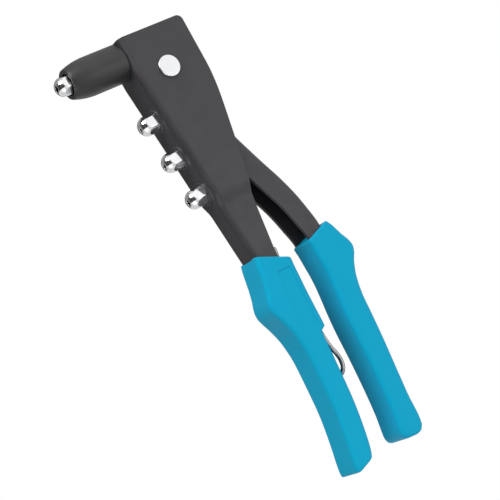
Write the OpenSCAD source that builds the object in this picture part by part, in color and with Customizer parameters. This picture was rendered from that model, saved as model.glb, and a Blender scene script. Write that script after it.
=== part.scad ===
// Hand riveter for blind rivets: two handles, one pivot, and a jaw carriage that pulls the mandrel.
// The nose points along -Y, the handles hang along -Z and the tool's width runs along X.
// The origin is the centre of the fitted nosepiece's mouth. The handles are modelled squeezed together.

/* [Frame] */
// Outside width of the frame's head
head_w = 22; // [21.8:0.1:24]
// Outside width of the fixed handle, below the step
handle_w = 16; // [15.6:0.1:16.4]
// Thickness of the frame's sheet steel
frame_t = 2; // [1.6:0.1:2]
// Outside radius of the folded edges
fold_r = 3.5; // [2.8:0.1:4]
// Height of the frame's top edge above the nose's axis
head_top = 9.7; // [9.6:0.1:11]
// Distance from the nosepiece's mouth to the web's front face
seat_y = 38.5; // [38:0.1:39]
// Lean of the web below the nose, in degrees
web_lean = 4.9; // [4.5:0.1:5.3]

/* [Nose] */
// Radius of the nose housing's barrel
housing_r = 10.2; // [9.8:0.1:10.4]
// Radius of the housing's flat front face
housing_tip_r = 8; // [7.6:0.1:8.4]
// Distance from the mouth back to the housing's front face
housing_tip_y = 6.5; // [6.2:0.1:6.8]
// Radius of a nosepiece's dome
dome_r = 5.25; // [5:0.05:5.4]
// Radius of the fitted nosepiece's bore
fitted_bore_r = 1.6; // [1.3:0.1:1.7]
// Bore radii of the three spare nosepieces, from the top
spare_bore_r = [0.85, 1.05, 1.3];
// Height of the highest spare nosepiece, below the nose's axis
spare_top_z = -34.8; // [-36:0.1:-34]
// Pitch of the spare nosepieces down the web
spare_pitch = 22.1; // [20:0.1:22.6]

/* [Pivot] */
// Distance of the pivot pin behind the mouth
pivot_y = 56.9; // [56.5:0.1:57.5]
// Drop of the pivot pin below the nose's axis, which is also the carriage's lever arm
pivot_drop = 13.5; // [13.5:0.05:14]
// Radius of the pivot pin's shank
pivot_r = 4; // [3.5:0.1:4.2]
// Radius of the pivot pin's round head
pivot_head_r = 5.9; // [5.5:0.1:6.5]
// Opening angle of the lever, in degrees
lever_open = 32; // [20:1:32]

/* [Lever] */
// Outside width of the lever channel
lever_w = 16.6; // [16.2:0.1:16.8]
// Thickness of the lever's sheet steel
lever_t = 2; // [1.6:0.1:2]

/* [Grips] */
// Width of both moulded grips
grip_w = 20; // [19.6:0.2:21]
// Corner radius of the grips
grip_r = 2.4; // [2:0.1:3.6]

/* [Wire] */
// Diameter of the catch wire
wire_d = 2.4; // [2:0.1:2.6]
// Distance of the wire's two legs from the middle plane
wire_x = 4.3; // [4:0.1:4.4]

/* [Hidden] */
$fn = 64;
tiny = 0.01;
run_fit = 0.05;

// Heights where the frame's web and width change
lean_z = -12;
step_top_z = -82;
step_low_z = -91;
frame_end_z = -234;
handle_front = [[-130, 48.6], [-150, 50], [-170, 50.6], [-190, 49.6], [-210, 47.4], [frame_end_z, 42.4]];
handle_rear = [[-130, 61], [-150, 60.6], [-170, 60], [-190, 58.6], [-210, 56.6], [frame_end_z, 51.6]];

// Nose: chamber, guide and nosepiece lengths along the axis
chamber_r = 7.2;
guide_r = 7;
guide_end_y = 46;
bush_r = 8.8;
housing_thread_r = 8.2;
flange_y = 9.4;
nose_thread_r = 4;
thread_end_y = 15;
tail_r = 3.2;
tail_end_y = 19.2;
dome_centre_y = 4.6;
hex_af = 9.6;
hex_corner_r = 5.45;
hex_front_y = 6;

// Carriage
case_r = 6.93;
case_front_y = 23.4;
case_mouth_r = 3.9;
case_rear_y = 52;
case_bore_r = 5.85;
cone_front_y = 25;
cone_rear_y = 36;
jaw_front_y = 25.8;
jaw_rear_y = 35.8;
jaw_gap = 0.3;
pusher_face_y = 39;
plug_front_y = 49;
block_front_y = 54.1;
block_rear_y = 67.4;
block_half_w = 5.9;
block_half_h = 5.5;
mandrel_way_r = 2.2;
drive_r = 2.5;
drive_inner_x = 2.95;

// The drive pins stand straight above the pivot at half travel, so they start half the travel behind it
drive_y = pivot_y + pivot_drop * tan(lever_open / 2);
slot_rise = pivot_drop / cos(lever_open / 2) - pivot_drop;

// Lever
lever_half_w = lever_w / 2;
lever_end_z = -233;
lever_web_top_z = -24;
bush_out_r = 5.5;
washer_r = 8.5;
lever_eye_r = 9.4;
lever_tip_r = 6.5;
lever_rear = [[0, drive_y + lever_tip_r], [-8, 69.9], [-24, 70.6], [-40, 70.9], [-50, 71.9], [-59, 74.1],
    [-68, 77.4], [-79, 81.7], [-90.2, 86.3], [-101.3, 89.9], [-110.2, 91.9], [-120.4, 93.5], [-140, 93.6],
    [-165, 91.6], [-188, 90.4], [-211, 88.1], [lever_end_z, 86.2]];
lever_front = [[-20, 50.1], [-34, 53], [-50, 57], [-66, 62], [-76, 65.6], [-86, 69.9], [-96, 74.3],
    [-104, 77.4], [-114, 80.1], [-124.4, 82.4], [-140, 83], [-165, 81.2], [-188, 79.8], [-209, 78.2],
    [lever_end_z, 75.6]];

// Wire: the pin it turns on, and one leg's route from its top end to the cross bar
wire_pin = [57.6, -136];
wire_pin_r = 1.5;
wire_leg = [[63.2, -119.8], [62.7, -124], [61.4, -130], [60.45, -136], [61, -146], [62.2, -157],
    [63.2, -167], [63.7, -174], [64.5, -179.5], [65.7, -183.8], [66, -187], [65.3, -190.3]];
wire_bar = [63.2, -193.6];

paint_black = [0.2, 0.2, 0.21];
steel = [0.62, 0.62, 0.64];
chrome = [0.85, 0.85, 0.87];
grip_blue = [0.08, 0.6, 0.75];

// ---- Shared shapes ----

// Turns a shape drawn round Z so that its axis lies along Y and its heights become Y
module along_y() {
    rotate([-90, 0, 0]) children();
}

// Turns a shape drawn round Z so that its axis lies along X and its heights become X
module along_x() {
    rotate([0, 90, 0]) children();
}

// Ring round the Y axis from y0 to y1
module ring_y(outer, inner, y0, y1) {
    along_y() translate([0, 0, y0]) difference() {
        cylinder(r = outer, h = y1 - y0);
        translate([0, 0, -1]) cylinder(r = inner, h = y1 - y0 + 2);
    }
}

// Extrudes a side outline, drawn as [y, z] points, across the width from x0 to x1
module across(x0, x1) {
    translate([x0, 0, 0]) rotate([90, 0, 90]) linear_extrude(x1 - x0) children();
}

// Moves a shape drawn on the nose's axis to a place on the leaning web, z below the nose
module on_web(z) {
    translate([0, seat_y - (z - lean_z) * tan(web_lean), z]) rotate([web_lean, 0, 0]) children();
}

// Curve from a to b that leaves a and reaches b along the lines to the corner c
function soften(a, c, b, n = 8) =
    [for (i = [0:n]) let (t = i / n) (1 - t) * (1 - t) * a + 2 * t * (1 - t) * c + t * t * b];

function reversed(list) = [for (i = [len(list) - 1:-1:0]) list[i]];

// Linear reading of a table of [z, value] rows that run downwards
function at_z(table, z, i = 0) =
    let (a = table[i], b = table[i + 1])
    i >= len(table) - 2 || z >= b[0]
        ? a[1] + (b[1] - a[1]) * (z - a[0]) / (b[0] - a[0])
        : at_z(table, z, i + 1);

// Skin over rings of points, which run clockwise seen from above and are listed downwards.
// The ends are closed by strips between each ring's first half and its second.
module loft(rings) {
    n = len(rings[0]);
    m = len(rings);
    low = (m - 1) * n;
    sides = [for (k = [0:m - 2]) for (j = [0:n - 1])
        let (a = k * n + j, b = k * n + (j + 1) % n) each [[a, a + n, b + n], [a, b + n, b]]];
    top_cap = [for (i = [0:n / 2 - 2]) let (j = n - 1 - i) each [[i, i + 1, j - 1], [i, j - 1, j]]];
    low_cap = [for (face = top_cap) [low + face[2], low + face[1], low + face[0]]];
    points = [for (ring = rings) each ring];
    polyhedron(points = points, faces = concat(sides, top_cap, low_cap), convexity = 6);
}

// Channel section at height z: web at y_web, open at y_open
function channel_ring(z, half_w, y_web, y_open, t) =
    let (s = sign(y_open - y_web), n = 6,
        outer = [for (i = [0:n]) let (a = 90 * i / n)
            [half_w - fold_r + fold_r * cos(a), y_web + s * fold_r * (1 - sin(a))]],
        inner = [for (i = [0:n]) let (a = 90 * i / n)
            [half_w - fold_r + (fold_r - t) * cos(a), y_web + s * (fold_r - (fold_r - t) * sin(a))]],
        half = concat([[half_w, y_open]], outer),
        half_in = concat([[half_w - t, y_open]], inner),
        points = concat(half, [for (p = reversed(half)) [-p[0], p[1]]],
            [for (p = half_in) [-p[0], p[1]]], reversed(half_in)))
    [for (p = s > 0 ? points : reversed(points)) [p[0], p[1], z]];

// Rounded rectangle between y0 and y1, at height z at its middle and tilted by slope along Y
function grip_ring(z, y0, y1, slope) =
    let (n = 5, r = grip_r, corners = [[1, 1, 90], [1, -1, 0], [-1, -1, -90], [-1, 1, -180]])
    [for (c = corners) for (i = [0:n])
        let (a = c[2] - 90 * i / n,
            x = c[0] * (grip_w / 2 - r) + r * cos(a),
            y = (c[1] > 0 ? y1 - r : y0 + r) + r * sin(a))
        [x, y, z + slope * (y - (y0 + y1) / 2)]];

// Solid through rows of [z, y0, y1, slope], where a row without a slope is level
module grip_loft(rows) {
    loft([for (row = rows) grip_ring(row[0], row[1], row[2], is_undef(row[3]) ? 0 : row[3])]);
}

// Round tube along a path; ref is a direction that the path never runs along
module tube(path, r, ref, sides = 8) {
    last = len(path) - 1;
    rings = [for (i = [0:last])
        let (d = path[min(i + 1, last)] - path[max(i - 1, 0)], t = d / norm(d),
            u0 = cross(t, ref), u = u0 / norm(u0), v = cross(t, u))
        [for (k = [0:sides - 1]) path[i] + r * (cos(360 * k / sides) * u + sin(360 * k / sides) * v)]];
    loft(rings);
}

// ---- Fixed handle ----

// Half of the frame's outside width, which narrows from the head to the handle
function frame_half_w(z) =
    let (t = min(1, max(0, (step_top_z - z) / (step_top_z - step_low_z))), s = t * t * (3 - 2 * t))
    (head_w * (1 - s) + handle_w * s) / 2;

function frame_front(z) = z > lean_z ? seat_y
    : z > -125 ? seat_y - (z - lean_z) * tan(web_lean)
    : at_z(handle_front, z);

// The cheeks' rear edge as [y, z] points, from the top down
function frame_edge() =
    let (corner_r = 3.2, rear_y = 78)
    concat([for (a = [0:22.5:90]) [rear_y - corner_r * (1 - sin(a)), head_top - corner_r * (1 - cos(a))]],
        [[rear_y, lean_z]],
        soften([rear_y, -18], [rear_y, -29], [74.7, -44]),
        soften([68, -76], [66, -86], [64.4, -97]),
        [[61.3, -120]],
        [for (row = handle_rear) [row[1], row[0]]]);

module frame_channel() {
    color(paint_black) difference() {
        union() {
            loft([for (p = frame_edge())
                channel_ring(p[1], frame_half_w(p[1]), frame_front(p[1]), p[0], frame_t)]);
            for (i = [0:2]) on_web(spare_z(i)) {
                ring_y(6.6, nose_thread_r, -0.5, 1);
                ring_y(5.6, nose_thread_r, 1, 5);
            }
        }
        along_y() cylinder(r = bush_r, h = seat_y + frame_t + 1);
        translate([-head_w, pivot_y, -pivot_drop]) along_x() cylinder(r = pivot_r, h = 2 * head_w);
        translate([-head_w, wire_pin[0], wire_pin[1]]) along_x() cylinder(r = wire_pin_r, h = 2 * head_w);
        for (i = [0:2]) on_web(spare_z(i))
            along_y() translate([0, 0, -2]) cylinder(r = nose_thread_r, h = 9);
    }
}

module nose_housing() {
    ogive_end_y = 20;
    run = ogive_end_y - housing_tip_y - 0.5;
    rise = housing_r - housing_tip_r;
    ogive_r = (run * run + rise * rise) / (2 * rise);
    ogive = [for (i = [0:8]) let (y = ogive_end_y - run + run * i / 8)
        [housing_r - ogive_r + sqrt(ogive_r * ogive_r - (ogive_end_y - y) * (ogive_end_y - y)), y]];
    color(paint_black) along_y() rotate_extrude() polygon(concat(
        [[5.8, housing_tip_y], [housing_tip_r - 0.4, housing_tip_y]], ogive,
        [[housing_r, seat_y - 0.5], [housing_r - 0.5, seat_y], [housing_thread_r, seat_y],
            [housing_thread_r, guide_end_y - 0.5], [housing_thread_r - 0.5, guide_end_y],
            [guide_r, guide_end_y], [guide_r, seat_y - 2], [chamber_r, seat_y - 2.5],
            [chamber_r, thread_end_y], [nose_thread_r, thread_end_y], [nose_thread_r, flange_y],
            [5.8, flange_y]]));
}

module threaded_bush() {
    color(steel) ring_y(bush_r, housing_thread_r, seat_y, guide_end_y);
}

function spare_z(i) = spare_top_z - i * spare_pitch;

// Nosepiece with its mouth at y = 0: a dome with six wrench flats, a thread, and the tail that opens the jaws
module nosepiece(bore_r) {
    mouth_r = sqrt(dome_r * dome_r - dome_centre_y * dome_centre_y);
    mouth_a = asin(mouth_r / dome_r);
    color(chrome) along_y() difference() {
        union() {
            intersection() {
                rotate_extrude() polygon(concat([[0, 0]],
                    [for (i = [0:8]) let (a = mouth_a + (90 - mouth_a) * i / 8)
                        [dome_r * sin(a), dome_centre_y - dome_r * cos(a)]],
                    [[hex_corner_r, hex_front_y], [hex_corner_r, flange_y], [0, flange_y]]));
                translate([0, 0, -1]) rotate([0, 0, 30])
                    cylinder(r = hex_af / sqrt(3), h = flange_y + 2, $fn = 6);
            }
            rotate_extrude() polygon([[0, flange_y - 1], [nose_thread_r, flange_y - 1],
                [nose_thread_r, thread_end_y], [tail_r, thread_end_y], [tail_r - 0.6, tail_end_y],
                [0, tail_end_y]]);
        }
        translate([0, 0, -1]) cylinder(r = bore_r, h = tail_end_y + 2);
    }
}

module nosepiece_fitted() {
    nosepiece(fitted_bore_r);
}

module nosepiece_spare(i) {
    on_web(spare_z(i)) translate([0, -0.5 - flange_y, 0]) nosepiece(spare_bore_r[i]);
}

module pivot_pin() {
    head_h = 1.4;
    groove_x = head_w / 2 + 0.1;
    head_x = head_w / 2;
    color(chrome) translate([0, pivot_y, -pivot_drop]) along_x() rotate_extrude() polygon([
        [0, -groove_x - 2], [pivot_r - 0.4, -groove_x - 2], [pivot_r, -groove_x - 1.6],
        [pivot_r, -groove_x - 1.1], [pivot_r - 0.6, -groove_x - 1.1], [pivot_r - 0.6, -groove_x],
        [pivot_r, -groove_x], [pivot_r, head_x], [pivot_head_r, head_x],
        [pivot_head_r, head_x + head_h - 0.4], [pivot_head_r - 0.4, head_x + head_h], [0, head_x + head_h]]);
}

module pivot_clip() {
    thick = 1;
    color(steel) translate([-head_w / 2 - 0.1 - thick, pivot_y, -pivot_drop]) along_x() difference() {
        cylinder(r = pivot_r + 2, h = thick);
        translate([0, 0, -1]) cylinder(r = pivot_r - 0.6, h = thick + 2);
        translate([0, -pivot_r * 0.6, -1]) cube([10, pivot_r * 1.2, thick + 2]);
    }
}

// Torsion spring round the pivot bush: one leg bears on the frame's web, the other on the lever's
module opening_spring() {
    coil_r = 6.6;
    wire_r = 0.75;
    turns = 4;
    steps = 16;
    pitch = 2 * wire_r + 0.35;
    x0 = -(turns + 0.5) * pitch / 2;
    count = (turns + 0.5) * steps;
    coil = [for (i = [0:count]) let (a = 180 - 360 * i / steps)
        [x0 + pitch * i / steps, pivot_y + coil_r * cos(a), -pivot_drop + coil_r * sin(a)]];
    front_leg = [[x0, 42.8, -28], [x0, 46.6, -22.4], [x0, 49.4, -17.6]];
    rear_leg = [[-x0, 64.2, -18], [-x0, 66.1, -27], [-x0, 67.9, -36]];
    color(steel) tube(concat(front_leg, coil, rear_leg), wire_r, [1, 0, 0]);
}

// Outline of a channel's space, which a grip is moulded round
module channel_space(rows, half_w) {
    loft([for (row = rows) [[half_w, row[2], row[0]], [half_w, row[1], row[0]],
        [-half_w, row[1], row[0]], [-half_w, row[2], row[0]]]]);
}

module front_grip() {
    top_slope = -0.44;
    end_slope = 0.28;
    notch_z = -168;
    rows = [[-133, 45.2, 66.6], [-139, 43.6, 66.3], [-144, 42, 66], [-147.5, 41.4, 65.8],
        [-151, 42.2, 65.7], [-157, 44.6, 65.5], [-165.5, 47, 65.2], [notch_z + 0.2, 47.3, 65.1],
        [notch_z - 0.2, 47.4, 62.3], [-176, 48, 61.7], [-190, 47.4, 60.5], [-206, 46.2, 59],
        [-224, 43.1, 56], [-232, 41.3, 54.1], [-237, 40.2, 52.8, end_slope],
        [-238.3, 40.9, 51.9, end_slope], [-238.7, 42.2, 50.6, end_slope]];
    window_end_z = -198;
    color(grip_blue) difference() {
        grip_loft(concat([[-124.2, 47.8, 67, top_slope]], rows));
        channel_space([for (z = [-110, -120, -130, -150, -170, -190, -210, frame_end_z])
            [z, frame_front(z), z > -125 ? 61.3 : at_z(handle_rear, z)]], handle_w / 2);
        // Plain panel, sunk into both sides
        for (x = [-grip_w / 2 - 1, grip_w / 2 - 0.3]) across(x, x + 1.3)
            polygon([[54.6, -132.8], [60.9, -134.5], [59.3, -162.1], [52, -159.8]]);
        // Room for the wire above the notch, and the window that it swings through below
        translate([-6.1, 58, notch_z - 0.2]) cube([12.2, 6.7, 70]);
        translate([-6.1, 55, window_end_z]) cube([12.2, 12, notch_z - window_end_z]);
    }
}

module wire_pivot_pin() {
    color(steel) translate([-handle_w / 2, wire_pin[0], wire_pin[1]]) along_x()
        cylinder(r = wire_pin_r, h = handle_w);
}

// ---- Lever ----

// Chord of a circle of radius r round height c, measured from its centre at height z
function chord(r, c, z) = sqrt(max(0, r * r - (z - c) * (z - c)));

function lever_front_y(z) = z < -20 ? at_z(lever_front, z)
    : min(z > -lever_tip_r ? drive_y - chord(lever_tip_r, 0, z) : drive_y,
        pivot_y + 3 - chord(lever_eye_r, -pivot_drop, z) * (1 + 3 / lever_eye_r));

function lever_rear_y(z) = z > 0 ? drive_y + chord(lever_tip_r, 0, z) : at_z(lever_rear, z);

module lever_channel() {
    heights = concat([6.2, 5.4, 4, 2, 0, -3, -5.5, -8, -10.5, -13.5, -16.5],
        [for (row = lever_front) if (row[0] > lever_end_z) row[0]], [lever_end_z]);
    color(paint_black) difference() {
        loft([for (z = heights) channel_ring(z, lever_half_w, lever_rear_y(z), lever_front_y(z), lever_t)]);
        // The web stops below the crosshead, so that spent mandrels can leave
        translate([-lever_half_w + lever_t - 0.02, 58, lever_web_top_z])
            cube([2 * (lever_half_w - lever_t + 0.02), 20, 40]);
        translate([-lever_w, pivot_y, -pivot_drop]) along_x() cylinder(r = bush_out_r, h = 2 * lever_w);
        translate([-lever_w, drive_y, 0]) along_x() cylinder(r = drive_r, h = 2 * lever_w);
    }
}

module pivot_bush() {
    half = head_w / 2 - frame_t - run_fit;
    color(steel) translate([-half, pivot_y, -pivot_drop]) along_x() difference() {
        cylinder(r = bush_out_r, h = 2 * half);
        translate([0, 0, -1]) cylinder(r = pivot_r + run_fit, h = 2 * half + 2);
    }
}

module pivot_washers() {
    thick = head_w / 2 - frame_t - lever_half_w - run_fit;
    color(steel) for (x = [-lever_half_w - thick, lever_half_w])
        translate([x, pivot_y, -pivot_drop]) along_x() difference() {
            cylinder(r = washer_r, h = thick);
            translate([0, 0, -1]) cylinder(r = bush_out_r, h = thick + 2);
        }
}

module drive_pins() {
    color(steel) for (x = [-lever_half_w, drive_inner_x]) translate([x, drive_y, 0]) along_x()
        cylinder(r = drive_r, h = lever_half_w - drive_inner_x);
}

module rear_grip() {
    top_slope = 0.32;
    end_slope = -0.12;
    rows = [[-130, 81.3, 100.9], [-137.9, 81.5, 103.9], [-141.2, 81.6, 102.8], [-146, 81.5, 99.8],
        [-154, 80.8, 96.4], [-164, 79.6, 94.4], [-175, 78.7, 93.6], [-188, 78.2, 92.5], [-211, 76.7, 90],
        [-223, 75.4, 88.9], [-231, 74, 88.9, end_slope], [-235, 73.4, 88.2, end_slope],
        [-237.6, 74, 86, end_slope], [-239.2, 75.6, 83.2, end_slope]];
    color(grip_blue) difference() {
        grip_loft(concat([[-122.8, 80.9, 97, top_slope]], rows));
        channel_space([for (z = [-110, -120.4, -140, -165, -188, -211, lever_end_z])
            [z, lever_front_y(z), lever_rear_y(z)]], lever_half_w);
    }
}

// ---- Jaw carriage ----

module jaw_case() {
    color(steel) along_y() rotate_extrude() polygon([
        [case_mouth_r, case_front_y], [case_r - 0.8, case_front_y], [case_r, case_front_y + 0.8],
        [case_r, case_rear_y], [case_bore_r, case_rear_y], [case_bore_r, cone_rear_y],
        [case_mouth_r, cone_front_y]]);
}

module crosshead() {
    slot_r = drive_r + 0.06;
    color(steel) difference() {
        union() {
            along_y() {
                translate([0, 0, plug_front_y]) cylinder(r = case_bore_r, h = case_rear_y - plug_front_y);
                translate([0, 0, case_rear_y]) cylinder(r = case_r - 0.1, h = block_front_y - case_rear_y);
            }
            translate([-block_half_w, block_front_y, -block_half_h])
                cube([2 * block_half_w, block_rear_y - block_front_y, 2 * block_half_h]);
        }
        along_y() translate([0, 0, plug_front_y - 1]) cylinder(r = mandrel_way_r, h = 30);
        for (x = [-block_half_w - 1, drive_inner_x - 0.2])
            across(x, x + block_half_w + 1.2 - drive_inner_x) {
                translate([drive_y, -0.1]) circle(r = slot_r);
                translate([drive_y, slot_rise + 0.1]) circle(r = slot_r);
                translate([drive_y - slot_r, -0.1]) square([2 * slot_r, slot_rise + 0.2]);
            }
    }
}

module jaw_spring() {
    coil_r = 4.3;
    wire_r = 0.6;
    turns = 5;
    steps = 16;
    front = pusher_face_y + wire_r + tiny;
    travel = plug_front_y - pusher_face_y - 2 * (wire_r + tiny);
    color(steel) tube([for (i = [0:turns * steps]) let (a = 360 * i / steps)
        [coil_r * cos(a), front + travel * i / (turns * steps), coil_r * sin(a)]], wire_r, [0, 1, 0]);
}

// One of three jaws: a third of a cone that rides in the case's cone and bites the mandrel
module jaw(i) {
    slope = (case_bore_r - case_mouth_r) / (cone_rear_y - cone_front_y);
    grip_bore_r = 1.1;
    front_r = case_mouth_r + slope * (jaw_front_y - cone_front_y) - jaw_gap;
    rear_r = case_mouth_r + slope * (jaw_rear_y - cone_front_y) - jaw_gap;
    color(steel) along_y() rotate([0, 0, 120 * i]) rotate_extrude(angle = 110) polygon([
        [grip_bore_r + 0.5, jaw_front_y], [front_r, jaw_front_y], [rear_r, jaw_rear_y], [4, jaw_rear_y],
        [grip_bore_r, jaw_rear_y - 3], [grip_bore_r, jaw_front_y + 0.5]]);
}

module jaw_pusher() {
    way_r = 1.7;
    color(steel) along_y() rotate_extrude() polygon([
        [way_r, 34.6], [2.5, 34.6], [3.7, 35.8], [3.7, 36.1], [case_bore_r - jaw_gap, 36.1],
        [case_bore_r - jaw_gap, pusher_face_y], [3.2, pusher_face_y], [3.2, 44], [way_r, 44]]);
}

// ---- Catch wire ----

module catch_wire() {
    wire_r = wire_d / 2;
    bend = 3;
    eye_r = wire_pin_r + wire_d - 0.1;
    eye_w = wire_d - 0.3;
    last = wire_leg[len(wire_leg) - 1];
    right = [for (p = wire_leg) [wire_x, p[0], p[1]]];
    corner = soften([wire_x, last[0], last[1]], [wire_x, wire_bar[0], wire_bar[1]],
        [wire_x - bend, wire_bar[0], wire_bar[1]], 6);
    half = concat(right, [for (i = [1:6]) corner[i]]);
    color(chrome) difference() {
        union() {
            tube(concat(half, [for (p = reversed(half)) [-p[0], p[1], p[2]]]), wire_r, [0, 1, 0], 10);
            for (x = [-wire_x, wire_x]) translate([x - eye_w / 2, wire_pin[0], wire_pin[1]]) along_x()
                cylinder(r = eye_r, h = eye_w);
        }
        translate([-head_w, wire_pin[0], wire_pin[1]]) along_x()
            cylinder(r = wire_pin_r + run_fit, h = 2 * head_w);
    }
}

frame_channel();
nose_housing();
threaded_bush();
nosepiece_fitted();
nosepiece_spare(0);  // nosepiece_spare_1
nosepiece_spare(1);  // nosepiece_spare_2
nosepiece_spare(2);  // nosepiece_spare_3
pivot_pin();
pivot_clip();
opening_spring();
front_grip();
wire_pivot_pin();
lever_channel();
pivot_bush();
pivot_washers();
drive_pins();
rear_grip();
jaw_case();
crosshead();
jaw_spring();
jaw(0);  // jaw_1
jaw(1);  // jaw_2
jaw(2);  // jaw_3
jaw_pusher();
catch_wire();
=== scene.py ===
import math

import bmesh
import bpy
import numpy as np
from mathutils import Matrix, Vector


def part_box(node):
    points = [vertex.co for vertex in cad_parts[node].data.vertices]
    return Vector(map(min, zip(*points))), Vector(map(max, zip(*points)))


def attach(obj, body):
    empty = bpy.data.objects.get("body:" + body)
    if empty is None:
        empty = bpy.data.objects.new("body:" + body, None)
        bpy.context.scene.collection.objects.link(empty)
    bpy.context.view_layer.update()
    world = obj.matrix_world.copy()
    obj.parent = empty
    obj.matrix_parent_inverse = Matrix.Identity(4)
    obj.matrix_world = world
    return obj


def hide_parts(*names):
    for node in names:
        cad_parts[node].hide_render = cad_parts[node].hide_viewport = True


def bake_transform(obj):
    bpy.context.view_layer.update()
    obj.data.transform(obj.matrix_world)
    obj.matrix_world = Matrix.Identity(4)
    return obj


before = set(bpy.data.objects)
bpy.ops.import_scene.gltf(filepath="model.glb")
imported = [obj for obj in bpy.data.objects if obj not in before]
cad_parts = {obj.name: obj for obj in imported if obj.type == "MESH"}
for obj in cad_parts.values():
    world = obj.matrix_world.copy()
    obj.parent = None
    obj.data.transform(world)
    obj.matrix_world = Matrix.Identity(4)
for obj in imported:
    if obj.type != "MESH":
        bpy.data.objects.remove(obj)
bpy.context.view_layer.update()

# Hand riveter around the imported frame. Shapes are written in millimetres and made in metres.
MM = 0.001


def box_mm(node):
    low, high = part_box(node)
    return np.array(low) / MM, np.array(high) / MM


def centre_mm(node):
    low, high = box_mm(node)
    return (low + high) / 2


PIVOT = centre_mm("pivot_bush")
DRIVE = centre_mm("drive_pins")
WIRE_PIN = centre_mm("wire_pivot_pin")
FRAME_HIGH = box_mm("frame_channel")[1]
LEVER_HIGH = box_mm("lever_channel")[1]
GRIP_HALF_W = box_mm("front_grip")[1][0]
HEAD_HALF_W = FRAME_HIGH[0]
HANDLE_HALF_W = 8.0
LEVER_HALF_W = LEVER_HIGH[0]
SHEET = 2.0
FOLD_R = 3.5
SEAT_Y = box_mm("threaded_bush")[0][1]
LEAN_Z = -12.0
LEAN = math.radians(4.9)


# ---- Numbers and curves ----

def smooth_curve(points):
    """Function through (x, y) points that rises and falls only where they do."""
    points = sorted(points)
    xs = np.array([p[0] for p in points], float)
    ys = np.array([p[1] for p in points], float)
    step = np.diff(xs)
    slope = np.diff(ys) / step
    grad = np.zeros(len(xs))
    for i in range(1, len(xs) - 1):
        if slope[i - 1] * slope[i] > 0:
            w1, w2 = 2 * step[i] + step[i - 1], step[i] + 2 * step[i - 1]
            grad[i] = (w1 + w2) / (w1 / slope[i - 1] + w2 / slope[i])
    grad[0], grad[-1] = slope[0], slope[-1]

    def value(x):
        i = int(np.clip(np.searchsorted(xs, x) - 1, 0, len(xs) - 2))
        h = step[i]
        t = (x - xs[i]) / h
        if t < 0:
            return ys[0] + grad[0] * (x - xs[0])
        if t > 1:
            return ys[-1] + grad[-1] * (x - xs[-1])
        return (
            (2 * t**3 - 3 * t**2 + 1) * ys[i]
            + (t**3 - 2 * t**2 + t) * h * grad[i]
            + (3 * t**2 - 2 * t**3) * ys[i + 1]
            + (t**3 - t**2) * h * grad[i + 1]
        )

    return value


def spaced(high, low, step):
    """Heights from high down to low, about one step apart, both ends included."""
    return list(np.linspace(high, low, max(2, int(round((high - low) / step)) + 1)))


def bezier(a, c, b, n=12):
    a, b, c = (np.array(p, float) for p in (a, b, c))
    return [(1 - t) ** 2 * a + 2 * t * (1 - t) * c + t * t * b for t in np.linspace(0, 1, n + 1)]


# ---- Mesh makers: each gives (points in mm, faces) ----

def skin(rings, closed_ends=True, channel=False):
    """Skin over rings of equal length. A channel's ends are closed by strips, others by one face."""
    n = len(rings[0])
    points = [tuple(p) for ring in rings for p in ring]
    faces = []
    for k in range(len(rings) - 1):
        for j in range(n):
            a, b = k * n + j, k * n + (j + 1) % n
            faces.append((a, b, b + n, a + n))
    if closed_ends:
        for base in (0, (len(rings) - 1) * n):
            if channel:
                faces += [
                    (base + i, base + i + 1, base + n - 2 - i, base + n - 1 - i) for i in range(n // 2 - 1)
                ]
            else:
                faces.append(tuple(base + j for j in range(n)))
    return points, faces


def lathe(profile, axis="y", n=96, closed=True, centre=(0, 0, 0)):
    """Turns (radius, height) points about an axis. A radius may be a function of the angle."""
    points, faces = [], []
    for radius, height in profile:
        for i in range(n):
            a = 2 * math.pi * i / n
            r = radius(a) if callable(radius) else radius
            u, v = r * math.cos(a), r * math.sin(a)
            p = {"x": (height, u, v), "y": (v, height, u), "z": (u, v, height)}[axis]
            points.append(tuple(np.array(p) + centre))
    m = len(profile)
    for k in range(m if closed else m - 1):
        k2 = (k + 1) % m
        for i in range(n):
            j = (i + 1) % n
            faces.append((k * n + i, k * n + j, k2 * n + j, k2 * n + i))
    return points, faces


def disc_lathe(profile, **kw):
    """A turned solid with no bore: both ends are closed by a face."""
    points, faces = lathe(profile, closed=False, **kw)
    n = kw.get("n", 96)
    m = len(profile)
    return points, faces + [tuple(range(n)), tuple((m - 1) * n + i for i in range(n))]


def tube(path, r, sides=16, up=(0, 1, 0), round_ends=True):
    """Round tube along a path; up is a direction that the path never runs along."""
    path = [np.array(p, float) for p in path]
    rings = []
    last = len(path) - 1
    for i, p in enumerate(path):
        d = path[min(i + 1, last)] - path[max(i - 1, 0)]
        d /= np.linalg.norm(d)
        u = np.cross(d, up)
        u /= np.linalg.norm(u)
        v = np.cross(d, u)
        circle = [math.cos(a) * u + math.sin(a) * v
                  for a in np.linspace(0, 2 * math.pi, sides, endpoint=False)]
        tip = {0: -1, last: 1}.get(i, 0) if round_ends else 0
        scale = [0.25, 0.6, 0.87, 1.0]
        back = [0.03, 0.2, 0.5, 1.0]
        if tip:
            steps = list(zip(scale, back))
            for s, h in steps if tip < 0 else reversed(steps):
                rings.append([p - tip * d * r * h + s * r * c for c in circle])
        else:
            rings.append([p + r * c for c in circle])
    return skin(rings)


def block(low, high):
    """Box for cutting."""
    xs, ys, zs = zip(low, high)
    points = [(x, y, z) for x in xs for y in ys for z in zs]
    return points, [(0, 1, 3, 2), (4, 6, 7, 5), (0, 4, 5, 1), (2, 3, 7, 6), (0, 2, 6, 4), (1, 5, 7, 3)]


def prism(outline, x0, x1):
    """Side outline of (y, z) points, carried from x0 to x1."""
    return skin([[(x, y, z) for y, z in outline] for x in (x0, x1)])


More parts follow.
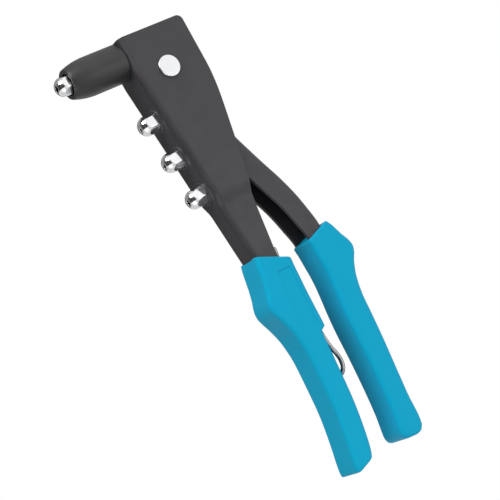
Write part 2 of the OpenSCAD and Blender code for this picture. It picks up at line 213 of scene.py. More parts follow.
def round_corners(corners, r, n=6):
    """Side outline with each corner softened."""
    out = []
    m = len(corners)
    for i in range(m):
        p = np.array(corners[i], float)
        a = np.array(corners[i - 1], float) - p
        b = np.array(corners[(i + 1) % m], float) - p
        out += bezier(p + a / np.linalg.norm(a) * r, p, p + b / np.linalg.norm(b) * r, n)
    return out


def moved(shape, matrix):
    points, faces = shape
    return [tuple(matrix @ Vector(p)) for p in points], faces


# ---- Objects ----

def mesh_of(name, shape):
    points, faces = shape
    me = bpy.data.meshes.new(name)
    me.from_pydata([tuple(c * MM for c in p) for p in points], [], faces)
    bm = bmesh.new()
    bm.from_mesh(me)
    bmesh.ops.recalc_face_normals(bm, faces=bm.faces)
    bm.to_mesh(me)
    bm.free()
    return me


def applied(ob):
    """Replaces the object's mesh with what its modifiers make."""
    bpy.context.view_layer.update()
    deps = bpy.context.evaluated_depsgraph_get()
    me = bpy.data.meshes.new_from_object(ob.evaluated_get(deps), depsgraph=deps)
    old = ob.data
    ob.modifiers.clear()
    ob.data = me
    me.name = old.name
    bpy.data.meshes.remove(old)


def piece(name, shape, body, material, replaces=(), cuts=(), bevel=0.0, bevel_angle=50, segments=2,
          sharp=40, blend=None):
    """One visible piece, from its shape to its place on a body."""
    ob = bpy.data.objects.new(name, mesh_of(name, shape))
    bpy.context.scene.collection.objects.link(ob)
    cutters = []
    for i, cut in enumerate(cuts):
        cutter = bpy.data.objects.new(f"cutter_{i}", mesh_of(f"cutter_{i}", cut))
        bpy.context.scene.collection.objects.link(cutter)
        cutters.append(cutter)
        m = ob.modifiers.new(f"cut_{i}", "BOOLEAN")
        m.operation = "DIFFERENCE"
        m.solver = "EXACT"
        m.object = cutter
    if bevel:
        m = ob.modifiers.new("bevel", "BEVEL")
        m.width = bevel * MM
        m.segments = segments
        m.limit_method = "ANGLE"
        m.angle_limit = math.radians(bevel_angle)
        m.use_clamp_overlap = True
        m.miter_outer = "MITER_ARC"
    if cuts or bevel:
        applied(ob)
    for cutter in cutters:
        me = cutter.data
        bpy.data.objects.remove(cutter)
        bpy.data.meshes.remove(me)
    me = ob.data
    me.materials.clear()
    me.materials.append(material)
    bm = bmesh.new()
    bm.from_mesh(me)
    for f in bm.faces:
        f.smooth = True
        f.material_index = 0
    limit = math.radians(sharp)
    for e in bm.edges:
        e.smooth = not (e.is_manifold and e.calc_face_angle(0) > limit)
    bm.to_mesh(me)
    bm.free()
    m = ob.modifiers.new("normals", "WEIGHTED_NORMAL")
    m.keep_sharp = True
    m.weight = 60
    if replaces:
        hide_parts(*replaces)
    if blend:
        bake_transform(ob)
    else:
        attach(ob, body)
    return ob


# ---- Materials ----

class Nodes:
    """Small helper for writing one material's nodes."""

    def __init__(self, name):
        self.mat = bpy.data.materials.new(name)
        self.mat.use_nodes = True
        self.tree = self.mat.node_tree
        self.bsdf = self.tree.nodes["Principled BSDF"]
        self.where = self.tree.nodes.new("ShaderNodeTexCoord").outputs["Object"]

    def link(self, a, b):
        self.tree.links.new(a, b)
        return b

    def stretch(self, scale):
        n = self.tree.nodes.new("ShaderNodeMapping")
        n.inputs["Scale"].default_value = scale
        self.link(self.where, n.inputs["Vector"])
        return n.outputs["Vector"]

    def noise(self, scale, detail=3.0, rough=0.5, vector=None):
        n = self.tree.nodes.new("ShaderNodeTexNoise")
        n.inputs["Scale"].default_value = scale
        n.inputs["Detail"].default_value = detail
        n.inputs["Roughness"].default_value = rough
        self.link(vector or self.where, n.inputs["Vector"])
        return n.outputs["Fac"]

    def remap(self, value, a, b, c, d):
        n = self.tree.nodes.new("ShaderNodeMapRange")
        n.clamp = True
        self.link(value, n.inputs["Value"])
        for key, v in zip(("From Min", "From Max", "To Min", "To Max"), (a, b, c, d)):
            n.inputs[key].default_value = v
        return n.outputs["Result"]

    def maths(self, how, a, b):
        n = self.tree.nodes.new("ShaderNodeMath")
        n.operation = how
        for i, v in enumerate((a, b)):
            if isinstance(v, (int, float)):
                n.inputs[i].default_value = v
            else:
                self.link(v, n.inputs[i])
        return n.outputs[0]

    def blend_colour(self, value, a, b):
        n = self.tree.nodes.new("ShaderNodeMix")
        n.data_type = "RGBA"
        self.link(value, n.inputs["Factor"])
        for key, v in (("A", a), ("B", b)):
            socket = [s for s in n.inputs if s.name == key and s.type == "RGBA"][0]
            if isinstance(v, tuple):
                socket.default_value = (*v, 1)
            else:
                self.link(v, socket)
        return [s for s in n.outputs if s.type == "RGBA"][0]

    def edges(self, radius, low, high):
        """0 on flats and 1 on edges, from how far a rounded normal leans from the true one."""
        bevel = self.tree.nodes.new("ShaderNodeBevel")
        bevel.samples = 6
        bevel.inputs["Radius"].default_value = radius
        geometry = self.tree.nodes.new("ShaderNodeNewGeometry")
        dot = self.tree.nodes.new("ShaderNodeVectorMath")
        dot.operation = "DOT_PRODUCT"
        self.link(bevel.outputs["Normal"], dot.inputs[0])
        self.link(geometry.outputs["Normal"], dot.inputs[1])
        return self.remap(dot.outputs["Value"], high, low, 0.0, 1.0)

    def bump(self, layers):
        """layers are (height, strength, distance in metres)."""
        normal = None
        for height, strength, distance in layers:
            n = self.tree.nodes.new("ShaderNodeBump")
            n.inputs["Strength"].default_value = strength
            n.inputs["Distance"].default_value = distance
            self.link(height, n.inputs["Height"])
            if normal:
                self.link(normal, n.inputs["Normal"])
            normal = n.outputs["Normal"]
        self.link(normal, self.bsdf.inputs["Normal"])


def powder_coat(name, dark, light, rough=(0.4, 0.54)):
    """Satin powder coat with fine orange peel, faint patches, and bright steel where edges are rubbed."""
    n = Nodes(name)
    patches = n.noise(55, 4, 0.6)
    speck = n.noise(2600, 2, 0.5)
    peel = n.noise(1300, 2, 0.45)
    colour = n.blend_colour(n.remap(patches, 0.3, 0.7, 0, 1), dark, light)
    colour = n.blend_colour(n.remap(speck, 0.62, 0.78, 0, 0.35), colour, tuple(1.7 * c for c in light))
    rub = n.maths("MULTIPLY", n.edges(0.0005, 0.80, 0.95), n.remap(n.noise(420, 5, 0.7), 0.56, 0.68, 0, 0.55))
    colour = n.blend_colour(rub, colour, (0.32, 0.32, 0.33))
    n.link(colour, n.bsdf.inputs["Base Color"])
    n.link(n.maths("MULTIPLY", rub, 0.8), n.bsdf.inputs["Metallic"])
    n.link(n.remap(n.noise(160, 4, 0.6), 0.3, 0.7, *rough), n.bsdf.inputs["Roughness"])
    n.bsdf.inputs["Specular IOR Level"].default_value = 0.55
    n.bump([(peel, 0.22, 0.00004), (speck, 0.12, 0.00002)])
    return n.mat


def plating(name, tone, rough=(0.05, 0.13), rings=None):
    """Bright plating with faint polishing marks and smudges; rings is the axis that tool marks turn about."""
    n = Nodes(name)
    smudge = n.noise(210, 4, 0.55)
    fine = n.noise(900, 3, 0.6, n.stretch({"x": (0.2, 6, 6), "y": (6, 0.2, 6), None: (1, 1, 1)}[rings]))
    colour = n.blend_colour(n.remap(smudge, 0.35, 0.75, 0, 1), tone, tuple(0.93 * c for c in tone))
    n.link(colour, n.bsdf.inputs["Base Color"])
    n.bsdf.inputs["Metallic"].default_value = 1
    n.link(n.maths("ADD", n.remap(smudge, 0.4, 0.7, *rough), n.remap(fine, 0.5, 0.75, 0, 0.05)),
           n.bsdf.inputs["Roughness"])
    n.bump([(fine, 0.08, 0.00001)])
    return n.mat


def bare_steel(name, tone, grain=(1, 14, 14), rough=(0.26, 0.42), oil=0.35):
    """Turned or ground steel: fine lines across the grain, darker oil in patches."""
    n = Nodes(name)
    lines = n.noise(1500, 4, 0.7, n.stretch(grain))
    film = n.noise(150, 4, 0.6)
    colour = n.blend_colour(n.remap(lines, 0.3, 0.7, 0, 1), tone, tuple(0.78 * c for c in tone))
    colour = n.blend_colour(n.remap(film, 0.5, 0.75, 0, oil), colour, (0.16, 0.145, 0.125))
    n.link(colour, n.bsdf.inputs["Base Color"])
    n.bsdf.inputs["Metallic"].default_value = 1
    n.link(n.remap(lines, 0.25, 0.75, *rough), n.bsdf.inputs["Roughness"])
    n.bump([(lines, 0.25, 0.00002)])
    return n.mat


def moulded(name, dark, light):
    """Satin moulded plastic: faint flow marks, very fine grain, polished and slightly paler on worn edges."""
    n = Nodes(name)
    flow = n.noise(28, 3, 0.5, n.stretch((1, 1, 0.35)))
    grain = n.noise(2400, 3, 0.55)
    scuff = n.noise(260, 6, 0.75, n.stretch((1, 1, 0.3)))
    colour = n.blend_colour(n.remap(flow, 0.3, 0.7, 0, 1), dark, light)
    worn = n.edges(0.0012, 0.86, 0.99)
    colour = n.blend_colour(n.maths("MULTIPLY", worn, 0.2), colour, (0.03, 0.46, 0.66))
    colour = n.blend_colour(n.remap(scuff, 0.66, 0.8, 0, 0.14), colour, (0.06, 0.48, 0.66))
    n.link(colour, n.bsdf.inputs["Base Color"])
    n.link(n.remap(n.noise(120, 4, 0.6), 0.3, 0.7, 0.36, 0.48), n.bsdf.inputs["Roughness"])
    n.bsdf.inputs["Specular IOR Level"].default_value = 0.2
    n.bsdf.inputs["Specular Tint"].default_value = (0.12, 0.72, 0.95, 1)
    n.bump([(grain, 0.10, 0.00003), (flow, 0.05, 0.0002)])
    return n.mat


PAINT = powder_coat("black_powder_coat", (0.0225, 0.0203, 0.0245), (0.0275, 0.025, 0.0298))
PAINT_SATIN = powder_coat("black_turned_coat", (0.015, 0.0135, 0.0145), (0.021, 0.0188, 0.0198), (0.32, 0.42))
CHROME = plating("chrome_plate", (0.9, 0.9, 0.91), (0.09, 0.15), "y")
CHROME_PIN = plating("chrome_pin", (0.86, 0.86, 0.87), (0.24, 0.34), None)
WIRE_STEEL = plating("wire_steel", (0.42, 0.39, 0.38), (0.12, 0.2), None)
STEEL_AXIAL = bare_steel("turned_steel_y", (0.55, 0.55, 0.56), (1, 16, 1))
STEEL_CROSS = bare_steel("turned_steel_x", (0.52, 0.52, 0.53), (16, 1, 1))
SPRING_STEEL = bare_steel("spring_steel", (0.36, 0.35, 0.34), (3, 3, 3), (0.28, 0.4), 0.5)
GRIP = moulded("blue_moulding", (0.0054, 0.315, 0.5), (0.0064, 0.335, 0.525))


# ---- Folded sheet channels ----

def channel_ring(z, half_w, y_web, y_open, t=SHEET, n=9):
    """U section: web at y_web with folded corners, open at y_open."""
    s = 1 if y_open > y_web else -1
    arc = np.linspace(0, math.pi / 2, n)
    inner_r = FOLD_R - t
    c = half_w - FOLD_R
    outer = [(half_w, y_open)] + [
        (c + FOLD_R * math.cos(a), y_web + s * FOLD_R * (1 - math.sin(a))) for a in arc
    ]
    inner = [(half_w - t, y_open)] + [
        (c + inner_r * math.cos(a), y_web + s * (FOLD_R - inner_r * math.sin(a))) for a in arc
    ]
    ring = outer + [(-x, y) for x, y in reversed(outer)] + [(-x, y) for x, y in inner] + list(reversed(inner))
    return [(x, y, z) for x, y in ring]


def web_y(z):
    """Front face of the frame's web."""
    return SEAT_Y if z > LEAN_Z else SEAT_Y - (z - LEAN_Z) * math.tan(LEAN)


IN_GRIP_FRONT = smooth_curve([(-124, web_y(-124)), (-130, 48.7), (-150, 50), (-170, 50.6), (-190, 49.6),
                              (-210, 47.4), (-234, 42.4)])
HEAD_TOP = FRAME_HIGH[2]
HEAD_REAR = 78.0
STEP_TOP, STEP_LOW = -81.5, -91.5


def frame_half_w(z):
    t = min(1, max(0, (STEP_TOP - z) / (STEP_TOP - STEP_LOW)))
    s = t * t * (3 - 2 * t)
    return HEAD_HALF_W * (1 - s) + HANDLE_HALF_W * s


def frame_rows():
    """(y, z) points down the cheeks' rear edge."""
    r = 3.2
    edge = [(HEAD_REAR - r * (1 - math.sin(a)), HEAD_TOP - r * (1 - math.cos(a)))
            for a in np.linspace(0, math.pi / 2, 10)]
    edge += [(HEAD_REAR, z) for z in (0, LEAN_Z + 2, LEAN_Z, LEAN_Z - 2)]
    edge += [tuple(p) for p in bezier((HEAD_REAR, -18), (HEAD_REAR, -29), (74.7, -44), 14)]
    edge += [(74.7 - 6.7 * t, -44 - 32 * t) for t in (0.25, 0.5, 0.75)]
    edge += [tuple(p) for p in bezier((68, -76), (66, -86), (64.4, -97), 16)]
    edge += [(64.4 - 3.1 * t, -97 - 23 * t) for t in (0.33, 0.66, 1)]
    edge += [(61, -130), (60.6, -150), (60, -170), (58.6, -190), (56.6, -210), (51.6, -234)]
    return edge


def frame_channel():
    rings = []
    for y, z in frame_rows():
        front = web_y(z) if z > -125 else IN_GRIP_FRONT(z)
        rings.append(channel_ring(z, frame_half_w(z), front, y))
    bush_hole = disc_lathe([(8.8, 36), (8.8, 42.5)], n=64)
    return piece("frame_sheet", skin(rings, channel=True), "frame", PAINT, ["frame_channel"],
                 cuts=[bush_hole], bevel=0.3)


EYE_R, TIP_R = 9.4, 6.5
LEVER_REAR = smooth_curve([(0, DRIVE[1] + TIP_R), (-8, 69.9), (-24, 70.6), (-40, 70.9), (-50, 71.9),
                           (-59, 74.1), (-68, 77.4), (-79, 81.7), (-90.2, 86.3), (-101.3, 89.9),
                           (-110.2, 91.9), (-120.4, 93.5), (-140, 93.6), (-165, 91.6), (-188, 90.4),
                           (-211, 88.1), (-233, 86.2)])
LEVER_FRONT = smooth_curve([(-20, 50.1), (-34, 53), (-50, 57), (-66, 62), (-76, 65.6), (-86, 69.9),
                            (-96, 74.3), (-104, 77.4), (-114, 80.1), (-124.4, 82.4), (-140, 83),
                            (-165, 81.2), (-188, 79.8), (-209, 78.2), (-233, 75.6)])


def chord(r, c, z):
    return math.sqrt(max(0, r * r - (z - c) ** 2))


def lever_front_y(z):
    if z < -20:
        return LEVER_FRONT(z)
    tip = DRIVE[1] - chord(TIP_R, 0, z) if z > -TIP_R else DRIVE[1]
    return min(tip, PIVOT[1] + 3 - chord(EYE_R, PIVOT[2], z) * (1 + 3 / EYE_R))


def lever_channel():
    heights = [6.2, 5.8, 5.2, 4.5, 3.6, 2.4, 1.2, 0] + spaced(-1.5, -20, 1.5) + spaced(-22, -233, 3.2)
    rings = []
    for z in heights:
        rear = DRIVE[1] + chord(TIP_R, 0, z) if z > 0 else LEVER_REAR(z)
        rings.append(channel_ring(z, LEVER_HALF_W, rear, lever_front_y(z)))
    inner = LEVER_HALF_W - SHEET + 0.02
    window = block((-inner, 58, -24), (inner, 80, 20))
    far = 2 * LEVER_HALF_W
    pivot_hole = disc_lathe([(5.5, -far), (5.5, far)], axis="x", n=64, centre=(0, PIVOT[1], PIVOT[2]))
    drive_hole = disc_lathe([(2.5, -far), (2.5, far)], axis="x", n=48, centre=(0, DRIVE[1], DRIVE[2]))
    return piece("lever_sheet", skin(rings, channel=True), "lever", PAINT, ["lever_channel"],
                 cuts=[window, pivot_hole, drive_hole], bevel=0.3)


# ---- Nose ----

def nose_housing():
    tip_y, tip_r, barrel_r = 6.5, 8.0, box_mm("nose_housing")[1][0]
    run, rise = 13.0, barrel_r - tip_r
    ogive_r = (run * run + rise * rise) / (2 * rise)
    ogive = []
    for u in np.linspace(0, 1, 20):
        y = 20 - run + run * u
        ogive.append((barrel_r - ogive_r + math.sqrt(ogive_r**2 - (20 - y) ** 2), y))
    profile = [(5.8, tip_y + 0.25), (6.05, tip_y), (tip_r - 0.55, tip_y), (tip_r - 0.28, tip_y + 0.08),
               (tip_r - 0.1, tip_y + 0.27)] + ogive
    profile += [(barrel_r, 29), (barrel_r, SEAT_Y - 0.55), (barrel_r - 0.12, SEAT_Y - 0.2),
                (barrel_r - 0.4, SEAT_Y - 0.02)]
    profile += [(8.2, SEAT_Y), (8.2, 45.5), (7.8, 46), (7.0, 46), (7.0, 36.5), (7.2, 36), (7.2, 15),
                (4, 15), (4, 9.4), (5.8, 9.4)]
    return piece("nose_barrel", lathe(profile, n=128), "frame", PAINT_SATIN,
                 ["nose_housing"], sharp=38)


def nosepiece_shape(bore_r):
    """Dome with six wrench flats, thread and tail round the Y axis, mouth at y = 0."""
    dome_r, dome_y, flat, corner_r = 5.25, 4.6, 4.8, 5.45

    def milled(r):
        """A round section of radius r, cut by the six flats."""
        return lambda a: min(r, flat / math.cos((a + math.pi / 6) % (math.pi / 3) - math.pi / 6))

    mouth_a = math.asin(math.sqrt(dome_r**2 - dome_y**2) / dome_r)
    profile = [(bore_r, 0.45), (bore_r + 0.12, 0.14), (bore_r + 0.4, 0)]
    for a in np.linspace(mouth_a, math.pi / 2, 40):
        profile.append((milled(dome_r * math.sin(a)), dome_y - dome_r * math.cos(a)))
    profile += [(milled(5.32), 5.3), (milled(corner_r), 6.0), (milled(corner_r), 9.1), (milled(5.25), 9.3),
                (milled(5.0), 9.4), (4.0, 9.4)]
    turns = 14
    for i in range(turns):
        y = 9.5 + 5.4 * i / turns
        profile += [(3.99, y), (3.7, y + 0.19)]
    profile += [(3.99, 14.95), (3.2, 15), (2.6, 19.1), (2.5, 19.2), (bore_r, 19.2)]
    return lathe(profile, n=144)


def on_web(z):
    """Places a shape from the nose's axis on the leaning web."""
    return Matrix.Translation((0, web_y(z), z)) @ Matrix.Rotation(LEAN, 4, "X")


def turned(degrees):
    """Where a nosepiece's flats come to rest when it is screwed tight."""
    return Matrix.Rotation(math.radians(degrees), 4, "Y")


FITTED_BORE_R, FITTED_TURN = 1.6, 20
# Height on the web, bore radius, and degrees turned when tight
SPARES = ((-34.8, 0.85, 27), (-56.9, 1.05, 24), (-79.0, 1.3, 12))
SPARE_SET_BACK = -9.9


def nosepieces():
    piece("nosepiece_in_use", moved(nosepiece_shape(FITTED_BORE_R), turned(FITTED_TURN)), "frame",
          CHROME, ["nosepiece_fitted"], sharp=28)
    for i, (z, bore_r, turn) in enumerate(SPARES, 1):
        place = on_web(z)
        screwed_in = place @ Matrix.Translation((0, SPARE_SET_BACK, 0)) @ turned(turn)
        shape = moved(nosepiece_shape(bore_r), screwed_in)
        piece(f"nosepiece_stored_{i}", shape, "frame", CHROME, [f"nosepiece_spare_{i}"],
              sharp=28)
        ring = lathe([(4.05, -0.45), (6.1, -0.5), (6.4, -0.42), (6.6, -0.2), (6.75, 0.3), (4.05, 0.3)], n=72)
        piece(f"seat_ring_{i}", moved(ring, place), "frame", PAINT, sharp=38)
        boss = lathe([(4.02, 1.6), (5.5, 1.6), (5.6, 1.9), (5.6, 4.7), (5.3, 5), (4.02, 5)], n=72)
        piece(f"seat_boss_{i}", moved(boss, place), "frame", PAINT, sharp=38)


# ---- Pivot ----

def pivot_pin():
    out = HEAD_HALF_W
    profile = [(3.6, -out - 2.1), (4.0, -out - 1.7), (4.0, -out - 1.1), (3.4, -out - 1.08),
               (3.4, -out - 0.12), (4.0, -out - 0.1), (4.0, out), (5.6, out), (5.8, out + 0.08),
               (5.9, out + 0.3), (5.9, out + 0.95),
               (5.84, out + 1.18), (5.66, out + 1.34), (5.4, out + 1.4), (3.2, out + 1.4)]
    shape = disc_lathe(profile, axis="x", centre=(0, PIVOT[1], PIVOT[2]))
    return piece("pivot_pin_turned", shape, "frame", CHROME_PIN, ["pivot_pin"], sharp=38)


def opening_spring():
    coil_r, wire_r, turns, steps = 6.44, 0.75, 4.5, 48
    pitch = 2 * wire_r + 0.35
    x0 = -turns * pitch / 2
    coil = []
    for i in range(int(turns * steps) + 1):
        a = math.pi - 2 * math.pi * i / steps
        coil.append((x0 + pitch * i / steps, PIVOT[1] + coil_r * math.cos(a),
                     PIVOT[2] + coil_r * math.sin(a)))
    front = [(x0, 42.8, -28), (x0, 44.9, -25), (x0, 46.8, -22), (x0, 48.5, -19.2), (x0, 49.8, -16.4)]
    rear = [(-x0, 63.7, -16), (-x0, 64.4, -19), (-x0, 65.3, -23), (-x0, 66.4, -28), (-x0, 67.2, -32),
            (-x0, 67.9, -36)]
    shape = tube(front + coil + rear, wire_r, 12, up=(1, 0, 0))
    return piece("return_spring", shape, "frame", SPRING_STEEL, ["opening_spring"], sharp=60,
                 blend=("frame", "lever", (x0 * MM, 0, 0), (-x0 * MM, 0, 0)))


def jaw_spring():
    """Coiled jaw spring, wound in place along the CAD spring and left attached to no body."""
    coil_r, wire_r, turns, steps = 4.3, 0.6, 5, 40
    front_y, rear_y = (v[1] for v in box_mm("jaw_spring"))
    start, end = front_y + wire_r, rear_y - wire_r
    coil = []
    for i in range(turns * steps + 1):
        a = 2 * math.pi * i / steps
        coil.append((coil_r * math.cos(a), start + (end - start) * i / (turns * steps), coil_r * math.sin(a)))
    return piece("jaw_spring_coil", tube(coil, wire_r, 12), "carriage", SPRING_STEEL,
                 ["jaw_spring"], sharp=60,
                 blend=("carriage", "jaw_set", (0, rear_y * MM, 0), (0, front_y * MM, 0)))


# ---- Grips ----

def grip_ring(z, y0, y1, half_w, r, slope=0.0, n=8):
    """Rounded rectangle; slope tilts it along Y."""
    ring = []
    r = min(r, half_w * 0.98, (y1 - y0) * 0.49)
    for sx, sy, start in ((1, 1, 90), (1, -1, 0), (-1, -1, -90), (-1, 1, -180)):
        for a in np.linspace(start, start - 90, n):
            x = sx * (half_w - r) + r * math.cos(math.radians(a))
            y = (y1 - r if sy > 0 else y0 + r) + r * math.sin(math.radians(a))
            ring.append((x, y, z + slope * (y - (y0 + y1) / 2)))
    return ring


def grip_rings(front, rear, top, bottom, corner=2.4):
    """Rings of a moulded grip. top and bottom are (z, slope, first or last z of the even part)."""
    top_z, top_slope, first_z = top
    end_z, end_slope, last_z = bottom
    rings = []
    for inset, drop in ((0.8, 0.0), (0.4, 0.1), (0.12, 0.35), (0, 0.8)):
        y0, y1 = front(top_z) + inset, rear(top_z) - inset
        rings.append(grip_ring(top_z - drop, y0, y1, GRIP_HALF_W - inset, corner - inset * 0.5, top_slope))
    for t in (0.3, 0.55, 0.78):
        z = top_z - 0.8 + (first_z - top_z + 0.8) * t
        rings.append(grip_ring(z, front(z), rear(z), GRIP_HALF_W, corner, top_slope * (1 - t)))
    for z in spaced(first_z, last_z, 1.5):
        rings.append(grip_ring(z, front(z), rear(z), GRIP_HALF_W, corner))
    fillet = 1.3
    for t in (0.35, 0.7, 1.0):
        z = last_z + (end_z + fillet - last_z) * t
        rings.append(grip_ring(z, front(z), rear(z), GRIP_HALF_W, corner, end_slope * t))
    for a in np.linspace(0, math.pi / 2, 7)[1:]:
        z, shrink = end_z + fillet * (1 - math.sin(a)), fillet * (1 - math.cos(a))
        y0, y1 = front(z), rear(z)
        rings.append(grip_ring(z, y0 + shrink * 0.3, y1 - shrink * 0.3, GRIP_HALF_W - shrink,
                               corner - shrink * 0.5, end_slope))
    return rings


def front_grip():
    front = smooth_curve([(-124.2, 47.8), (-133, 45.2), (-139, 43.6), (-143.5, 42.0), (-146, 41.5),
                          (-148, 41.5),
                          (-151, 42.3), (-157, 44.6), (-165.5, 47), (-176, 48), (-190, 47.4), (-206, 46.2),
                          (-224, 43.1), (-232, 41.3), (-237, 40.3), (-238.1, 40.7), (-238.7, 41.6)])
    rear = smooth_curve([(-124.2, 67), (-133, 66.6), (-139, 66.3), (-147.5, 65.8), (-157, 65.5),
                         (-167.6, 65.15),
                         (-168.4, 62.35), (-176, 61.7), (-190, 60.5), (-206, 59), (-224, 56), (-232, 54.1),
                         (-236.5, 52.9), (-238.1, 52.2), (-238.7, 51.2)])
    rings = grip_rings(front, rear, (-124.2, -0.44, -133), (-238.7, 0.28, -232))
    room = block((-6.1, 58, -168.4), (6.1, 64.7, -100))
    window = block((-6.1, 55, -198), (6.1, 80, -168.0))
    eye_space = 4.2
    eye_room = block((-6.1, WIRE_PIN[1] - eye_space, WIRE_PIN[2] - eye_space),
                     (6.1, 58.5, WIRE_PIN[2] + eye_space))
    panel = round_corners([(54.8, -131.9), (63.4, -132.1), (61.9, -164.2), (52.6, -161)], 1.2)
    panels = [prism(panel, GRIP_HALF_W - 0.3, GRIP_HALF_W + 1),
              prism(panel, -GRIP_HALF_W - 1, 0.3 - GRIP_HALF_W)]
    return piece("grip_front_moulding", skin(rings), "frame", GRIP, ["front_grip"],
                 cuts=[room, window, eye_room] + panels, bevel=0.2)


def rear_grip():
    front = smooth_curve([(-122.8, 80.9), (-130, 81.3), (-137.9, 81.5), (-141.2, 81.6), (-146, 81.5),
                          (-154, 80.8),
                          (-164, 79.6), (-175, 78.7), (-188, 78.2), (-211, 76.7), (-223, 75.4), (-231, 74.0),
                          (-235, 73.5), (-237.6, 74.1), (-239.2, 75.8)])
    rear = smooth_curve([(-122.8, 97), (-130, 100.9), (-135.4, 103.4), (-137.9, 103.9), (-140.6, 103.2),
                         (-146, 99.8), (-154, 96.4), (-164, 94.4), (-175, 93.6), (-188, 92.5), (-211, 90),
                         (-223, 88.9), (-229, 88.8), (-235, 88.0), (-237.6, 86.2), (-239.2, 83.0)])
    rings = grip_rings(front, rear, (-122.8, 0.32, -130), (-239.1, -0.12, -231))
    return piece("grip_rear_moulding", skin(rings), "lever", GRIP, ["rear_grip"], bevel=0.2)


# ---- Catch wire ----

def catch_wire():
    x, wire_r = 4.3, 1.2
    leg = [(63.2, -119.8), (62.7, -124), (61.4, -130), (60.45, -136), (61, -146), (62.2, -157), (63.2, -167),
           (63.7, -174), (64.5, -179.5), (65.7, -183.8), (66, -187), (65.3, -190.3)]
    bar = (63.2, -193.6)
    y_at = smooth_curve([(z, y) for y, z in leg])
    right = [(x, y_at(z), z) for z in spaced(leg[0][1], leg[-1][1], 1.8)]
    bend = [tuple(p) for p in bezier((x, *leg[-1]), (x, *bar), (x - 3, *bar), 10)][1:]
    half = right + bend
    path = half + [(-px, py, pz) for px, py, pz in reversed(half)]
    piece("catch_wire_bent", tube(path, wire_r, 18), "wire", WIRE_STEEL, ["catch_wire"],
          sharp=60)
    for side, sx in (("near", x), ("far", -x)):
        profile = []
        for a in np.linspace(0, 2 * math.pi, 16, endpoint=False):
            profile.append((2.68 + 1.12 * math.cos(a), sx + 1.05 * math.sin(a)))
        eye = lathe(profile, axis="x", n=48, centre=(0, WIRE_PIN[1], WIRE_PIN[2]))
        piece(f"catch_wire_eye_{side}", eye, "wire", WIRE_STEEL, sharp=60)


frame_channel()
lever_channel()
nose_housing()
nosepieces()
pivot_pin()
opening_spring()
jaw_spring()
front_grip()
rear_grip()
catch_wire()

# Turned and milled inner parts keep their CAD shapes
for node, material in {
    "threaded_bush": STEEL_AXIAL, "wire_pivot_pin": STEEL_CROSS, "pivot_bush": STEEL_CROSS,
    "pivot_washers": STEEL_CROSS, "drive_pins": STEEL_CROSS, "pivot_clip": SPRING_STEEL,
    "jaw_case": STEEL_AXIAL,
    "crosshead": STEEL_AXIAL, "jaw_1": STEEL_AXIAL, "jaw_2": STEEL_AXIAL,
    "jaw_3": STEEL_AXIAL, "jaw_pusher": STEEL_AXIAL,
}.items():
    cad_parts[node].data.materials.clear()
    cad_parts[node].data.materials.append(material)


# ---- Floor, light and camera ----

def floor():
    """Pale floor that fades into the white surround towards its rim."""
    n, rings, rim_r, floor_z = 96, 24, 3000, -1100
    fade_from, fade_to = 1.25, 2.9
    points = [(0, 0, floor_z)]
    faces = []
    for k in range(1, rings + 1):
        for i in range(n):
            a = 2 * math.pi * i / n
            points.append((rim_r * k / rings * math.cos(a), rim_r * k / rings * math.sin(a), floor_z))
    for i in range(n):
        faces.append((0, 1 + i, 1 + (i + 1) % n))
        for k in range(rings - 1):
            a, b = 1 + k * n + i, 1 + k * n + (i + 1) % n
            faces.append((a, a + n, b + n, b))
    ob = bpy.data.objects.new("floor", mesh_of("floor", (points, faces)))
    bpy.context.scene.collection.objects.link(ob)
    n = Nodes("pale_floor")
    n.link(n.blend_colour(n.noise(6, 4), (0.84, 0.84, 0.85), (0.88, 0.88, 0.88)), n.bsdf.inputs["Base Color"])
    n.link(n.remap(n.noise(40, 3), 0.3, 0.7, 0.6, 0.75), n.bsdf.inputs["Roughness"])
    n.bump([(n.noise(300, 3), 0.05, 0.0002)])
    add = n.tree.nodes.new
    distance = add("ShaderNodeVectorMath")
    distance.operation = "LENGTH"
    n.link(n.where, distance.inputs[0])
    fade = n.remap(distance.outputs["Value"], fade_from, fade_to, 0.0, 1.0)
    glow, mix = add("ShaderNodeEmission"), add("ShaderNodeMixShader")
    glow.inputs["Color"].default_value = (1, 1, 1, 1)
    n.link(fade, mix.inputs["Fac"])
    n.link(n.bsdf.outputs["BSDF"], mix.inputs[1])
    n.link(glow.outputs["Emission"], mix.inputs[2])
    n.link(mix.outputs["Shader"], n.tree.nodes["Material Output"].inputs["Surface"])
    ob.data.materials.append(n.mat)


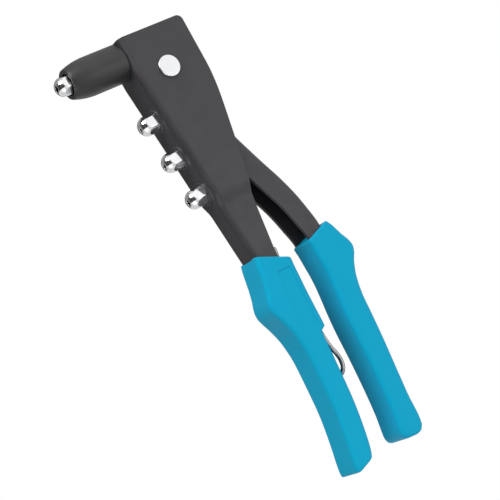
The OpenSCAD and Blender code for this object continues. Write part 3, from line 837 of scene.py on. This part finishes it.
def studio():
    """White surround, brighter from above and from the +X side, with a dark gap where the camera stands."""
    world = bpy.data.worlds.new("studio")
    bpy.context.scene.world = world
    world.use_nodes = True
    tree = world.node_tree
    tree.nodes.clear()
    out = tree.nodes.new("ShaderNodeOutputWorld")
    seen, lit = (tree.nodes.new("ShaderNodeBackground") for _ in range(2))
    mix = tree.nodes.new("ShaderNodeMixShader")
    path = tree.nodes.new("ShaderNodeLightPath")
    where = tree.nodes.new("ShaderNodeTexCoord")

    def facing(direction, a, b, c, d):
        dot = tree.nodes.new("ShaderNodeVectorMath")
        dot.operation = "DOT_PRODUCT"
        dot.inputs[1].default_value = Vector(direction).normalized()
        tree.links.new(where.outputs["Generated"], dot.inputs[0])
        m = tree.nodes.new("ShaderNodeMapRange")
        m.interpolation_type = "SMOOTHSTEP"
        tree.links.new(dot.outputs["Value"], m.inputs["Value"])
        for key, v in zip(("From Min", "From Max", "To Min", "To Max"), (a, b, c, d)):
            m.inputs[key].default_value = v
        return m.outputs["Result"]

    def times(a, b):
        m = tree.nodes.new("ShaderNodeMath")
        m.operation = "MULTIPLY"
        tree.links.new(a, m.inputs[0])
        tree.links.new(b, m.inputs[1])
        return m.outputs[0]

    side = facing((0.87, 0.5, -0.1), -0.7, 1.0, 0.3, 0.92)
    above = facing((0.1, 0.55, 0.83), -0.2, 1.0, 0.9, 1.25)
    front = facing((0.4, -0.92, 0), 0.35, 0.93, 1.0, 0.15)
    gap = facing(CAMERA_BACK, 0.95, 0.99, 1.0, 0.25)
    wash = times(times(side, above), front)
    tree.links.new(times(wash, gap), lit.inputs["Strength"])
    lit.inputs["Color"].default_value = (0.985, 0.99, 1.0, 1)
    seen.inputs["Color"].default_value = (1, 1, 1, 1)
    seen.inputs["Strength"].default_value = 1.0
    tree.links.new(path.outputs["Is Camera Ray"], mix.inputs["Fac"])
    tree.links.new(lit.outputs[0], mix.inputs[1])
    tree.links.new(seen.outputs[0], mix.inputs[2])
    tree.links.new(mix.outputs[0], out.inputs["Surface"])


def softbox(name, place, aim, size, power):
    data = bpy.data.lights.new(name, "AREA")
    data.shape = "RECTANGLE"
    data.size, data.size_y = size
    data.energy = power
    ob = bpy.data.objects.new(name, data)
    ob.location = place
    ob.rotation_euler = (Vector(aim) - Vector(place)).to_track_quat("-Z", "Y").to_euler()
    bpy.context.scene.collection.objects.link(ob)


CAMERA_RIGHT = Vector((0.41758, 0.77005, -0.48234))
CAMERA_UP = Vector((0.27240, 0.40033, 0.87495))
CAMERA_BACK = Vector((0.86685, -0.49675, -0.04259))
CAMERA_PLACE = (0.65275, -0.32124, -0.14743)
SENSOR_MM, LENS_MM = 36.0, 105.84


def camera():
    data = bpy.data.cameras.new("camera")
    data.sensor_width = SENSOR_MM
    data.lens = LENS_MM
    data.clip_start, data.clip_end = 0.01, 20
    ob = bpy.data.objects.new("camera", data)
    turn = Matrix((CAMERA_RIGHT, CAMERA_UP, CAMERA_BACK)).transposed().to_4x4()
    ob.matrix_world = Matrix.Translation(CAMERA_PLACE) @ turn
    bpy.context.scene.collection.objects.link(ob)
    bpy.context.scene.camera = ob


floor()
studio()
camera()
softbox("side", (0.75, 0.55, -0.3), (0, 0.05, -0.14), (0.6, 0.6), 0.7)
softbox("fill_high", (0.4, -0.5, 0.7), (0, 0.07, -0.14), (0.6, 0.5), 10.5)
softbox("fill_low", (0.4, -0.6, -0.75), (0, 0.07, -0.16), (0.6, 0.5), 1.5)
bpy.context.scene.view_settings.view_transform = "Standard"
